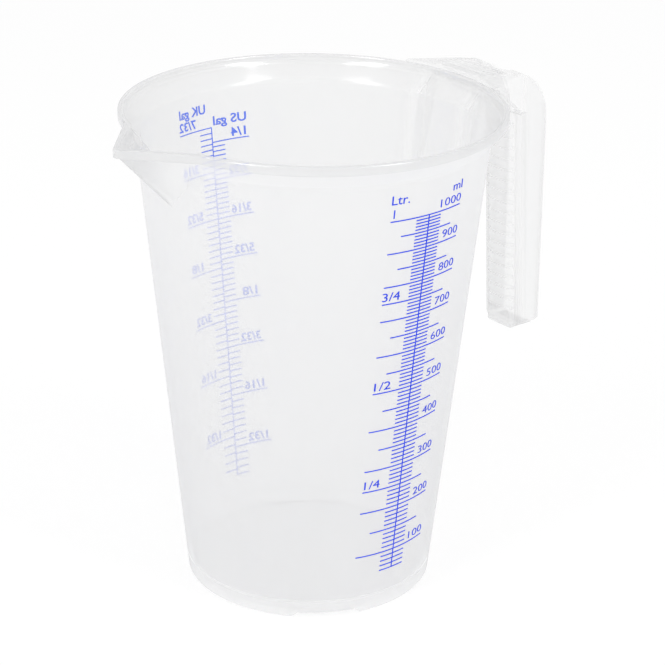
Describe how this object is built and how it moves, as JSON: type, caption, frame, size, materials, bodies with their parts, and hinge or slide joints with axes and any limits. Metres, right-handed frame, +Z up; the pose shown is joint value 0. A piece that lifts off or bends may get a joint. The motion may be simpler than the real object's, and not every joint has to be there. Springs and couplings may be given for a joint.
{
  "type": "measuring jug",
  "caption": "Translucent tapered one-litre measuring jug with a flared rim, pointed pouring spout, hanging ridged handle and printed metric and gallon scales.",
  "frame": {"origin": "centre of the foot ring, in the plane that the jug stands on", "axes": "+Z up along the axis of the cup, +X towards the handle, -X towards the spout, -Y towards the metric scale"},
  "size_m": [0.1735, 0.1258, 0.1667],
  "materials": {
    "jug_plastic": "milky translucent polypropylene, glossy outside",
    "handle_plastic": "milky translucent polypropylene, satin",
    "blue_ink": "screen-printed ink"
  },
  "bodies": {
    "root": {"jug_body": "jug_plastic", "handle": "handle_plastic", "metric_scale": "blue_ink", "gallon_scale": "blue_ink"}
  },
  "joints": []
}
